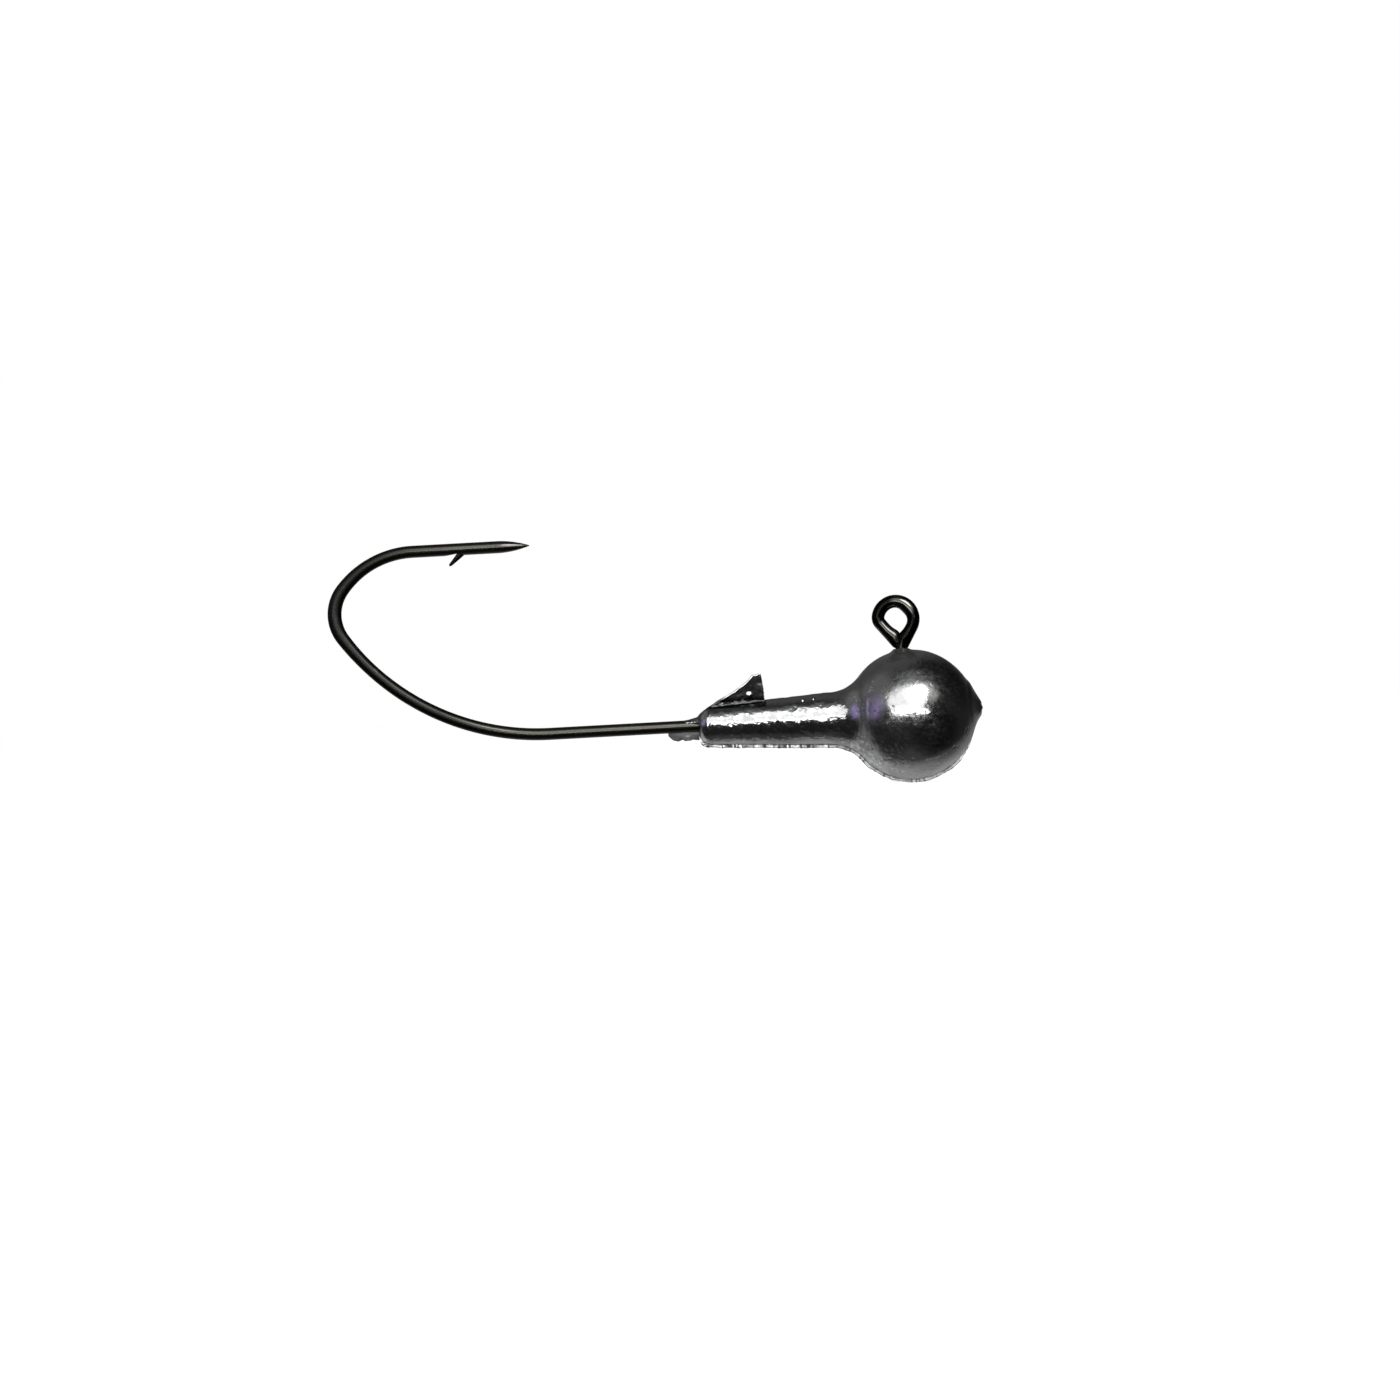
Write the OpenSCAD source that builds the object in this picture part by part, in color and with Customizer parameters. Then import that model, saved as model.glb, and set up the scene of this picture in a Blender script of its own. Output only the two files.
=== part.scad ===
// Ball jig head: a lead ball with a tapered bait collar and a barbed bait keeper,
// cast round a forged wire hook whose eye leg turns up inside the ball.
// The hook lies in the XZ plane. +X runs forward along the shank to the nose of the ball,
// +Z points up to the line eye and the hook's point, and the origin is the middle of the line eye.
// The jig is two physical pieces, the hook and the casting. Each is drawn as its named features,
// which meet face to face and never overlap.

/* [Hook wire] */
// Diameter of the hook wire
wire_d = 0.94; // [0.8:0.02:1.1]
// Distance from the line eye back to where the shank begins to curve
shank_l = 27.05; // [25:0.05:29]
// Radius of the long sweep behind the shank
sweep_r = 18.8; // [17:0.1:20]
// Turn of the long sweep, in degrees
sweep_turn = 55.4; // [50:0.2:58]
// Radius of the tight heel at the far end of the bend
heel_r = 3.15; // [2.6:0.05:4]
// Turn of the heel, in degrees
heel_turn = 73; // [68:0.5:78]
// Radius of the throat, which brings the point parallel to the shank
throat_r = 7.1; // [6.4:0.1:8]
// Length of the point leg, from the throat to the tip
point_l = 9; // [7:0.1:11]
// Length of the ground needle taper at the tip
taper_l = 2.5; // [2:0.1:3]
// Radius of the blunt end left on the needle tip
tip_r = 0.03; // [0.02:0.01:0.06]

/* [Barb] */
// Distance from the tip back to the root of the barb
barb_back = 5.5; // [4.5:0.1:6]
// How far the barb's free end stands out from the wire
barb_rise = 0.78; // [0.5:0.02:0.9]
// Distance that the barb's free end leans back towards the bend
barb_lean = 0.75; // [0.5:0.05:1]
// Thickness of the sliver at its free end
barb_tip_t = 0.16; // [0.1:0.02:0.24]
// Thickness of the sliver where it leaves the wire
barb_root_t = 0.42; // [0.3:0.02:0.6]
// Width of the sliver across the wire
barb_w = 0.62; // [0.4:0.02:0.8]
// Depth of the chisel cut that the sliver was raised from
barb_cut = 0.16; // [0.1:0.02:0.24]

/* [Line eye] */
// Height of the line eye above the shank's axis
eye_rise = 7.4; // [7.35:0.05:8]
// Radius of the eye's wire centreline
eye_r = 1.39; // [1.3:0.01:1.5]
// Lean of the wire where it leaves the leg to go round the eye, in degrees
eye_lean = 30; // [24:1:34]
// Angle round the eye, from +X, at which the ring tightens into its last corner
eye_corner_at = 168; // [164:1:176]
// Radius of the wire's last corner
eye_corner_r = 0.7; // [0.6:0.02:0.8]
// Slope of the closing end below the horizontal, in degrees
eye_end_slope = 51; // [47:1:54]
// Length of the closing end, which butts against the leg
eye_end_l = 1.85; // [1.7:0.05:1.9]
// Distance of the leg's axis ahead of the middle of the eye
leg_ahead = 0.35; // [0.25:0.05:0.4]
// Radius of the bend that turns the leg up from the shank
leg_r = 1.5; // [1.3:0.1:1.8]
// Radius of the small bend, just above the ball, that leans the leg into the eye
lean_r = 0.6; // [0.55:0.05:0.6]

/* [Lead ball] */
// Diameter of the ball
ball_d = 10; // [9.6:0.1:10.4]
// Distance of the ball's centre ahead of the line eye
ball_ahead = 0.8; // [0.4:0.1:1.2]

/* [Bait collar] */
// Distance from the ball's centre back to the collar's rear face
collar_l = 16.4; // [15:0.1:18]
// Radius of the collar at its rear face
collar_rear_r = 1.51; // [1.45:0.01:1.6]
// Radius of the collar where it begins to flare into the ball
collar_front_r = 2.02; // [1.9:0.01:2.15]
// Radius of the rounded rear edge
collar_edge_r = 0.8; // [0.6:0.05:0.9]
// Radius of the hollow flare between the collar and the ball
flare_r = 3; // [2:0.1:3.4]

/* [Bait keeper] */
// Distance from the ball's centre back to the keeper's tip
keeper_back = 11.55; // [11:0.05:12]
// Height of the keeper's tip above the shank's axis
keeper_h = 3.67; // [3.2:0.01:4]
// Length of the ramp behind the tip
keeper_ramp_l = 4.3; // [4:0.05:4.4]
// Length of the small flat on the tip
keeper_flat_l = 0.3; // [0.2:0.05:0.5]
// Width of the keeper at its foot
keeper_foot_w = 1.5; // [1.2:0.1:1.6]
// Width of the keeper at its tip
keeper_tip_w = 0.8; // [0.6:0.1:1]

/* [Casting marks] */
// Radius of the gate stub where it leaves the ball's nose
gate_base_r = 1.3; // [1:0.05:1.5]
// Radius of the gate stub where it was broken off
gate_top_r = 0.4; // [0.3:0.05:0.6]
// Height of the gate stub's axis above the ball's centre
gate_up = 0.12; // [0:0.02:0.2]
// How far the gate stub stands proud of the ball
gate_proud = 0.43; // [0.3:0.01:0.5]
// Thickness of the parting flash
flash_t = 0.16; // [0.1:0.02:0.24]
// How far the parting flash stands proud of the casting
flash_proud = 0.2; // [0.1:0.02:0.3]
// Distance of the flash's front end below the ball's centre
flash_top = 1.75; // [1.4:0.05:2.5]
// Length of the flash tail under the shank, behind the collar
tail_l = 2.4; // [1.5:0.1:3]
// How far the flash tail hangs below the wire
tail_drop = 0.5; // [0.3:0.05:0.55]

/* [Hidden] */
$fn = 96;
wire_r = wire_d / 2;
ball_r = ball_d / 2;
shank_z = -eye_rise;
// Steps in a drawn arc of an outline
arc_steps = 16;
// A length that runs any cutter well past what it cuts
beyond = 1;
// A length that starts a shallow cut just outside the metal
cut_clear = 0.1;
// Angle round the collar's rear edge where its flash begins, in degrees from +X
flash_edge_at = 200;
// Length of the slanted end of the flash tail
tail_slant_l = 0.36;

hook_color = [0.12, 0.125, 0.12];
lead_color = [0.55, 0.56, 0.57];

// A place along the wire is [x, z, heading], with the heading in degrees from +X towards +Z.
function along(place, length) = [
    place[0] + length * cos(place[2]),
    place[1] + length * sin(place[2]),
    place[2]
];

// A positive turn bends the wire anticlockwise, seen with +X to the right and +Z up.
function arc_centre(place, radius, turn) = [
    place[0] - sign(turn) * radius * sin(place[2]),
    place[1] + sign(turn) * radius * cos(place[2])
];

function round_bend(place, radius, turn) = [
    arc_centre(place, radius, turn)[0] + sign(turn) * radius * sin(place[2] + turn),
    arc_centre(place, radius, turn)[1] - sign(turn) * radius * cos(place[2] + turn),
    place[2] + turn
];

// Points on an arc from one angle to another, both in degrees from the first axis.
function arc_points(centre, radius, first, last) = [
    for (i = [0:arc_steps])
        centre + radius * [
            cos(first + (last - first) * i / arc_steps),
            sin(first + (last - first) * i / arc_steps)
        ]
];

// The wire's route from the leg back through the bend to the tip
leg_foot = [leg_ahead - leg_r, shank_z, 180];
shank_end = [-shank_l, shank_z, 180];
sweep_end = round_bend(shank_end, sweep_r, -sweep_turn);
heel_end = round_bend(sweep_end, heel_r, -heel_turn);
throat_turn = 180 - sweep_turn - heel_turn;
throat_end = round_bend(heel_end, throat_r, -throat_turn);
tip = along(throat_end, point_l);

// The wire's route from the leg up round the eye. The straight after the lean ends
// where it meets the ring at a tangent.
lean_reach = eye_r * cos(eye_lean) - leg_ahead - lean_r * (1 - cos(eye_lean));
eye_run_l = lean_reach / sin(eye_lean);
eye_foot_z = -(eye_r + lean_r) * sin(eye_lean) - eye_run_l * cos(eye_lean);
leg_start = [leg_ahead - leg_r, shank_z, 0];
leg_knee = round_bend(leg_start, leg_r, 90);
leg_top = [leg_ahead, eye_foot_z, 90];
eye_run = round_bend(leg_top, lean_r, -eye_lean);
ring_start = along(eye_run, eye_run_l);
corner_start = round_bend(ring_start, eye_r, eye_corner_at + eye_lean);
eye_end = round_bend(corner_start, eye_corner_r, 270 - eye_end_slope - eye_corner_at);

// Centre of the ball, and the places where the flare meets the ball and the collar
ball_at = [ball_ahead, 0, shank_z];
flare_x = -sqrt(pow(ball_r + flare_r, 2) - pow(collar_front_r + flare_r, 2));
flare_angle = acos(-flare_x / (ball_r + flare_r));
split_x = flare_x * ball_r / (ball_r + flare_r);

// A straight stretch of the wire
module wire_run(place, length) {
    translate([place[0], 0, place[1]])
        rotate([0, 90 - place[2], 0])
            cylinder(h = length, r = wire_r);
}

// A bent stretch of the wire
module wire_bend(place, radius, turn) {
    centre = arc_centre(place, radius, turn);
    first = place[2] - sign(turn) * 90 + min(turn, 0);
    translate([centre[0], 0, centre[1]])
        rotate([90, 0, 0])
            rotate([0, 0, first])
                rotate_extrude(angle = abs(turn))
                    translate([radius, 0])
                        circle(r = wire_r);
}

// An outline in the XZ plane, with thickness along Y
module plate(thickness) {
    rotate([90, 0, 0])
        linear_extrude(height = thickness, center = true)
            children();
}

// A solid of revolution about the shank's axis, from an outline of [radius, x]
module turned_on_shank(outline) {
    translate(ball_at)
        rotate([0, 90, 0])
            rotate_extrude()
                polygon(outline);
}

// The closed line eye: the leg leans forward, runs round the ring and butts back on itself
module hook_eye() {
    color(hook_color)
        union() {
            wire_bend(leg_top, lean_r, -eye_lean);
            wire_run(eye_run, eye_run_l);
            wire_bend(ring_start, eye_r, eye_corner_at + eye_lean);
            wire_bend(corner_start, eye_corner_r, 270 - eye_end_slope - eye_corner_at);
            wire_run(eye_end, eye_end_l);
        }
}

// The leg that turns up from the shank, hidden inside the ball
module hook_leg() {
    color(hook_color)
        union() {
            wire_bend(leg_start, leg_r, 90);
            wire_run(leg_knee, leg_top[1] - leg_knee[1]);
        }
}

// The straight shank, from the bend through the collar into the ball
module hook_shank() {
    color(hook_color)
        wire_run(leg_foot, shank_l + leg_ahead - leg_r);
}

// The first stretch of the bend: a long sweep up from the shank
module bend_sweep() {
    color(hook_color)
        wire_bend(shank_end, sweep_r, -sweep_turn);
}

// The second stretch of the bend: the tight heel at the far end of the hook
module bend_heel() {
    color(hook_color)
        wire_bend(sweep_end, heel_r, -heel_turn);
}

// The last stretch of the bend: the throat, which leads into the point leg
module bend_throat() {
    color(hook_color)
        wire_bend(heel_end, throat_r, -throat_turn);
}

// The needle's outline as [radius, distance from the start of the taper]
function needle_outline() = concat(
    [[0, 0]],
    [
        for (i = [0:arc_steps])
            let (t = i / arc_steps)
                [tip_r + (wire_r - tip_r) * (1 - t * t), taper_l * t]
    ],
    [[0, taper_l]]
);

// The chisel cut in the wire's inner side, which slopes out to the surface behind the barb
module barb_notch() {
    root_x = tip[0] - barb_back;
    floor_z = tip[1] - wire_r + barb_cut;
    mouth_z = tip[1] - wire_r - cut_clear;
    plate(wire_d + beyond)
        polygon([
            [root_x, floor_z],
            [root_x - barb_lean - barb_root_t, mouth_z],
            [root_x - barb_root_t / 2, mouth_z]
        ]);
}

// The point leg with its ground needle tip
module hook_point() {
    color(hook_color)
        difference() {
            union() {
                wire_run(throat_end, point_l - taper_l);
                translate([tip[0] - taper_l, 0, tip[1]])
                    rotate([0, 90, 0])
                        rotate_extrude()
                            polygon(needle_outline());
            }
            barb_notch();
        }
}

// The barb: a sliver raised from the wire, leaning back towards the bend
module hook_barb() {
    root_x = tip[0] - barb_back;
    root_z = tip[1] - wire_r + barb_cut;
    free_x = root_x - barb_lean;
    free_z = tip[1] - wire_r - barb_rise;
    color(hook_color)
        difference() {
            plate(barb_w)
                polygon([
                    [root_x, root_z],
                    [free_x, free_z],
                    [free_x + barb_tip_t, free_z],
                    [root_x + barb_root_t, root_z]
                ]);
            difference() {
                wire_run(throat_end, point_l - taper_l);
                barb_notch();
            }
        }
}

// The collar's outline as [radius, x from the ball's centre], with its flare up to the ball
function collar_outline() = concat(
    [[0, split_x], [0, -collar_l]],
    arc_points(
        [collar_rear_r - collar_edge_r, -collar_l + collar_edge_r], collar_edge_r, -90, 0
    ),
    arc_points([collar_front_r + flare_r, flare_x], flare_r, 180, 90 + flare_angle)
);

// The wire that the ball is poured round
module buried_wire() {
    union() {
        wire_run(leg_foot, collar_l);
        wire_bend(leg_start, leg_r, 90);
        wire_run(leg_knee, ball_r);
    }
}

// The whole ball, with its poles on the shank's axis
module round_ball() {
    translate(ball_at)
        rotate([0, 90, 0])
            sphere(r = ball_r);
}

// The lead ball, flat where the collar's flare begins
module ball_head() {
    color(lead_color)
        difference() {
            round_ball();
            translate(ball_at + [split_x - ball_d, -ball_r, -ball_r])
                cube(ball_d);
            buried_wire();
        }
}

// The tapered collar that holds the soft bait
module collar() {
    color(lead_color)
        difference() {
            turned_on_shank(collar_outline());
            wire_run(along(leg_foot, -beyond), collar_l + 2 * beyond);
        }
}

// The keeper's side outline, as [x, z] from the ball's centre. The ramp rises from a step
// a third of the keeper's height, which is inside the collar, to a blunted crest.
module keeper_side() {
    ramp_x = -keeper_back - keeper_ramp_l;
    ramp_foot_z = keeper_h / 3;
    crest_x = -keeper_back - 3 * keeper_flat_l;
    polygon([
        [ramp_x, wire_r],
        [ramp_x, ramp_foot_z],
        [crest_x, keeper_h - keeper_flat_l],
        [-keeper_back - keeper_flat_l, keeper_h],
        [-keeper_back, keeper_h],
        [-keeper_back + keeper_flat_l / 2, keeper_h - keeper_flat_l],
        [-keeper_back + keeper_flat_l, collar_rear_r],
        [-keeper_back + keeper_flat_l, wire_r]
    ]);
}

// The keeper's end outline, as [y, z] from the ball's centre, narrower at the tip
module keeper_end() {
    polygon([
        [-keeper_foot_w / 2, 0],
        [keeper_foot_w / 2, 0],
        [keeper_foot_w / 2, collar_rear_r],
        [keeper_tip_w / 2, keeper_h],
        [-keeper_tip_w / 2, keeper_h],
        [-keeper_foot_w / 2, collar_rear_r]
    ]);
}

// The wedge on top of the collar that stops the bait sliding back
module bait_keeper() {
    color(lead_color)
        difference() {
            translate(ball_at)
                intersection() {
                    plate(keeper_foot_w)
                        keeper_side();
                    translate([-collar_l, 0, 0])
                        rotate([90, 0, 90])
                            linear_extrude(height = collar_l)
                                keeper_end();
                }
            turned_on_shank(collar_outline());
        }
}

// The stub left where the lead was poured in and the sprue broken off. Its cone starts
// as far inside the ball as it stands proud, and the ball is cut away from it.
module gate_stub() {
    stub_l = 2 * gate_proud;
    color(lead_color)
        difference() {
            translate(ball_at + [ball_r - gate_proud, 0, gate_up])
                rotate([0, 90, 0])
                    cylinder(h = stub_l, r1 = gate_base_r, r2 = gate_top_r);
            round_ball();
        }
}

// The outer edge of the flash along the shank's tail and the collar, as [x, z]
function collar_flash_outline() = concat(
    [
        [-collar_l - tail_l, -wire_r],
        [-collar_l - tail_l + tail_slant_l, -wire_r - tail_drop],
        [-collar_l, -wire_r - tail_drop]
    ],
    arc_points(
        [collar_edge_r - collar_l, collar_edge_r - collar_rear_r],
        collar_edge_r + flash_proud, flash_edge_at, 270
    ),
    arc_points([flare_x, -collar_front_r - flare_r], flare_r - flash_proud, 90, flare_angle),
    [[split_x, -wire_r]]
);

// Flash squeezed out along the parting plane, under the collar and round the ball
module parting_flash() {
    color(lead_color)
        translate(ball_at)
            plate(flash_t)
                difference() {
                    union() {
                        intersection() {
                            circle(r = ball_r + flash_proud);
                            translate([flare_x, -ball_d])
                                square([2 * ball_d, ball_d - flash_top]);
                        }
                        polygon(collar_flash_outline());
                    }
                    circle(r = ball_r);
                    polygon([for (p = collar_outline()) [p[1], -p[0]]]);
                }
}

hook_eye();
hook_leg();
hook_shank();
bend_sweep();
bend_heel();
bend_throat();
hook_point();
hook_barb();
ball_head();
collar();
bait_keeper();
gate_stub();
parting_flash();
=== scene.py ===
"""A ball jig head: a black nickel wire hook with a lead ball, collar and keeper cast round it.

Lengths in the shape code are millimetres, and angles are degrees. Points become metres when a
mesh is made. The hook lies in the XZ plane, with +X towards the ball's nose and +Z up to the
line eye.
"""
import math

import bpy
import numpy as np
from mathutils import Matrix, Vector


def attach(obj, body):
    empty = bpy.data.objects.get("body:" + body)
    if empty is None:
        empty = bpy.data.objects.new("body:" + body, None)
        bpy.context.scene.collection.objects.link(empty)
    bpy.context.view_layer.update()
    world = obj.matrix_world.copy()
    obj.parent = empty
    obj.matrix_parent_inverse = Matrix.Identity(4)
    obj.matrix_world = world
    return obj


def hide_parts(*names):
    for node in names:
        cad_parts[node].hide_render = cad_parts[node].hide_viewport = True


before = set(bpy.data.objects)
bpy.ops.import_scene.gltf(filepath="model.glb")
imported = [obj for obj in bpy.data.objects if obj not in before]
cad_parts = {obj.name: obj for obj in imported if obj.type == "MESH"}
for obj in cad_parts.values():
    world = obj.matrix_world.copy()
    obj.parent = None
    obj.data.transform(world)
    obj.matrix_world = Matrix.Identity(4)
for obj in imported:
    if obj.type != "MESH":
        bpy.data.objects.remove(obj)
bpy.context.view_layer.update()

MM = 0.001

# ---------------------------------------------------------------------------
# Sizes shared with the CAD model
# ---------------------------------------------------------------------------
WIRE_R = 0.47
SHANK_L = 27.05
SHANK_Z = -7.4
SWEEP_R, SWEEP_TURN = 18.8, 55.4
HEEL_R, HEEL_TURN = 3.15, 73.0
THROAT_R = 7.1
POINT_L, TAPER_L, TIP_R = 9.0, 2.5, 0.03
BARB_BACK, BARB_RISE, BARB_LEAN, BARB_CUT = 5.5, 0.78, 0.75, 0.16
EYE_R, EYE_LEAN, EYE_CORNER_AT = 1.39, 30.0, 168.0
EYE_CORNER_R, EYE_END_SLOPE, EYE_END_L = 0.7, 51.0, 1.85
LEG_AHEAD, LEG_R, LEAN_R = 0.35, 1.5, 0.6
BALL_R = 5.0
BALL_AT = np.array([0.8, 0.0, SHANK_Z])
COLLAR_L, COLLAR_REAR_R, COLLAR_FRONT_R = 16.4, 1.51, 2.02
FLARE_R = 3.0
# Where the collar's taper meets the flare, from the ball's centre
FLARE_X = -math.sqrt((BALL_R + FLARE_R) ** 2 - (COLLAR_FRONT_R + FLARE_R) ** 2)

# ---------------------------------------------------------------------------
# Hook: how the real wire differs from the CAD's plain one
# ---------------------------------------------------------------------------
WIRE_SIDES = 48
# The closing end of the eye is tucked further into the joint than in the CAD
EYE_TUCK = 0.4
# The eye sits a few degrees out of the hook's plane, twisted on its leg over a short height
EYE_TWIST, TWIST_FROM_Z, TWIST_HEIGHT = -9.0, -2.35, 0.9
# The point is as high as the eye, but lies behind this
EYE_REAR_X = -5.0
# The eye's wire was spread inwards by closing it over a pin, and by squeezing it shut where it
# meets the leg. Each spot is a height, a place along the wire and a reach.
SPREAD_OVER_PIN = [(0.03, 3.9, 2.2), (0.07, 6.0, 0.8)]
SPREAD_AT_JOINT = [(0.09, 0.8, 0.5), (0.09, 8.7, 0.5)]
# Share of that spread that shows across the plane
SPREAD_ACROSS = 0.2
# The bend is forged: deeper in its plane and thinner across
FORGED_DEEPER, FORGED_THINNER, FORGED_REACH = 0.07, 0.05, 3.2
# Length of the rounded edge at the eye's cut end, and the share of the thickness left at its face
CUT_EDGE_L, CUT_FACE = 0.3, 0.6
# The chisel cut's floor starts this far clear of the skin, and this much further back than the
# barb's free end
CHISEL_CLEAR, CHISEL_RUN_OUT = 0.02, 0.42
# The cut only touches wire that is less than this below the point's axis
CHISEL_REACH = 1.0


def straight(place, length, step):
    """Places along a straight stretch, without its first. A place is x, z and heading."""
    x, z, heading = place
    a = math.radians(heading)
    n = max(1, math.ceil(length / step))
    return [
        (x + length * i / n * math.cos(a), z + length * i / n * math.sin(a), heading)
        for i in range(1, n + 1)
    ]


def bend(place, radius, turn, step):
    """Places along an arc, without its first. A positive turn is anticlockwise, +X to the right."""
    x, z, heading = place
    side = math.copysign(1, turn)
    a = math.radians(heading)
    centre_x = x - side * radius * math.sin(a)
    centre_z = z + side * radius * math.cos(a)
    n = max(2, math.ceil(math.radians(abs(turn)) * radius / step))
    places = []
    for i in range(1, n + 1):
        h = heading + turn * i / n
        b = math.radians(h)
        places.append((
            centre_x + side * radius * math.sin(b),
            centre_z - side * radius * math.cos(b),
            h,
        ))
    return places


def hook_route():
    """The wire's centreline from the cut end of the eye to the tip, with its marked places.

    The last number of each stretch is the spacing of its places.
    """
    lean = math.radians(EYE_LEAN)
    reach = EYE_R * math.cos(lean) - LEG_AHEAD - LEAN_R * (1 - math.cos(lean))
    run_l = reach / math.sin(lean)
    foot_z = -(EYE_R + LEAN_R) * math.sin(lean) - run_l * math.cos(lean)
    # The leg and the eye are laid upwards from the shank, then turned round
    up = [(LEG_AHEAD - LEG_R, SHANK_Z, 0.0)]
    up += bend(up[-1], LEG_R, 90, 0.2)
    up += straight(up[-1], foot_z - up[-1][1], 0.3)
    up += bend(up[-1], LEAN_R, -EYE_LEAN, 0.05)
    up += straight(up[-1], run_l, 0.1)
    up += bend(up[-1], EYE_R, EYE_CORNER_AT + EYE_LEAN, 0.07)
    up += bend(up[-1], EYE_CORNER_R, 270 - EYE_END_SLOPE - EYE_CORNER_AT, 0.06)
    up += straight(up[-1], EYE_END_L + EYE_TUCK, 0.06)
    route = [(x, z, h + 180) for x, z, h in reversed(up)]
    x, z, _ = route[-1]
    route[-1] = (x, z, 180.0)
    marks = {}
    route += straight(route[-1], SHANK_L + LEG_AHEAD - LEG_R, 0.25)
    route += bend(route[-1], SWEEP_R, -SWEEP_TURN, 0.2)
    marks["heel"] = len(route)
    route += bend(route[-1], HEEL_R, -HEEL_TURN, 0.1)
    marks["throat"] = len(route)
    route += bend(route[-1], THROAT_R, -(180 - SWEEP_TURN - HEEL_TURN), 0.15)
    route += straight(route[-1], POINT_L - TAPER_L, 0.05)
    marks["taper"] = len(route)
    route += straight(route[-1], TAPER_L, 0.05)
    return np.array(route), marks


def add_mesh(name, verts, faces, material):
    """A smooth-shaded piece from arrays of points in millimetres and of quads or triangles."""
    mesh = bpy.data.meshes.new(name)
    mesh.from_pydata([tuple(v) for v in np.asarray(verts) * MM], [], [tuple(f) for f in faces])
    mesh.validate()
    mesh.shade_smooth()
    obj = bpy.data.objects.new(name, mesh)
    bpy.context.scene.collection.objects.link(obj)
    mesh.materials.append(material)
    return obj


def bell(x, centre, width):
    """A smooth bump of height 1."""
    return np.exp(-(((np.asarray(x) - centre) / width) ** 2))


def wire_thickness(arc, marks):
    """Half the wire's thickness in the hook's plane and across it, and how far it is spread."""
    in_plane = np.full(len(arc), WIRE_R)
    across = np.full(len(arc), WIRE_R)
    heel_mid = arc[(marks["heel"] + marks["throat"]) // 2]
    forged = bell(arc, heel_mid, FORGED_REACH)
    in_plane += FORGED_DEEPER * forged
    across -= FORGED_THINNER * forged
    spread = sum(height * bell(arc, at, reach) for height, at, reach in SPREAD_OVER_PIN)
    spread += sum(height * bell(arc, at, reach) for height, at, reach in SPREAD_AT_JOINT)
    in_plane += spread
    across += SPREAD_ACROSS * spread
    # Ground needle
    t = np.clip((arc - arc[marks["taper"] - 1]) / TAPER_L, 0, 1)
    needle = (TIP_R + (WIRE_R - TIP_R) * (1 - t * t)) / WIRE_R
    # Cut end of the eye, with its edge broken
    edge = np.clip(arc / CUT_EDGE_L, 0, 1)
    rounding = CUT_FACE + (1 - CUT_FACE) * np.sqrt(1 - (1 - edge) ** 2)
    for half in (in_plane, across):
        half *= needle
        half *= rounding
    return in_plane, across, spread


def chisel_cut(verts, tip_x, tip_z):
    """Take the wire's inner side behind the barb down to a sloping floor."""
    root_x = tip_x - BARB_BACK
    run = BARB_LEAN + CHISEL_RUN_OUT
    x, z = verts[..., 0], verts[..., 2]
    slope = np.clip((x - (root_x - run)) / run, 0, 1)
    floor = tip_z - WIRE_R - CHISEL_CLEAR + (BARB_CUT + CHISEL_CLEAR) * slope
    near = (x > root_x - run) & (x < root_x) & (z > tip_z - CHISEL_REACH) & (z < tip_z)
    verts[..., 2] = np.where(near, np.maximum(z, floor), z)


def twist_eye(verts):
    """Turn the eye about its leg, easing in over a short height."""
    rise = np.clip((verts[..., 2] - TWIST_FROM_Z) / TWIST_HEIGHT, 0, 1)
    rise = rise * (verts[..., 0] > EYE_REAR_X)
    twist = np.radians(EYE_TWIST) * rise * rise * (3 - 2 * rise)
    arm, depth = verts[..., 0] - LEG_AHEAD, verts[..., 1].copy()
    verts[..., 0] = LEG_AHEAD + arm * np.cos(twist) - depth * np.sin(twist)
    verts[..., 1] = depth * np.cos(twist) + arm * np.sin(twist)


def hook_mesh(material):
    """The whole wire as one tube, with the barb's tongue set into it."""
    route, marks = hook_route()
    x, z, heading = route[:, 0], route[:, 1], np.radians(route[:, 2])
    arc = np.concatenate([[0], np.cumsum(np.hypot(np.diff(x), np.diff(z)))])
    tip_x, tip_z = x[-1], z[-1]
    in_plane, across, spread = wire_thickness(arc, marks)
    x = x + spread * np.sin(heading)
    z = z - spread * np.cos(heading)
    turn = np.linspace(0, 2 * math.pi, WIRE_SIDES, endpoint=False)
    normal = np.stack([-np.sin(heading), np.zeros_like(x), np.cos(heading)], 1)
    centre = np.stack([x, np.zeros_like(x), z], 1)
    verts = (
        centre[:, None, :]
        + in_plane[:, None, None] * np.cos(turn)[None, :, None] * normal[:, None, :]
        + across[:, None, None] * np.sin(turn)[None, :, None] * np.array([0, 1, 0])
    )
    chisel_cut(verts, tip_x, tip_z)
    twist_eye(verts)
    n = len(route)
    grid = np.arange(n * WIRE_SIDES).reshape(n, WIRE_SIDES)
    a, b = grid[:-1], grid[1:]
    quads = np.stack([a, b, np.roll(b, -1, 1), np.roll(a, -1, 1)], -1).reshape(-1, 4)
    faces = [list(q) for q in quads] + [list(grid[0]), list(grid[-1][::-1])]
    # Coordinates along and round the wire, which its drawn grain follows
    grain = np.stack([
        np.repeat(arc, WIRE_SIDES),
        np.tile(np.cos(turn) * WIRE_R, n),
        np.tile(np.sin(turn) * WIRE_R, n),
    ], 1)
    barb_points, barb_faces = barb_sliver(tip_x, tip_z, n * WIRE_SIDES)
    grain = np.vstack([grain, barb_points - np.array([tip_x, 0, tip_z])])
    points = np.vstack([verts.reshape(-1, 3), barb_points])
    obj = add_mesh("hook", points, faces + barb_faces, material)
    layer = obj.data.attributes.new("wire_grain", "FLOAT_VECTOR", "POINT")
    layer.data.foreach_set("vector", (grain * MM).astype(np.float32).ravel())
    return obj


BARB_STATIONS, BARB_SIDES = 22, 20
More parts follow.
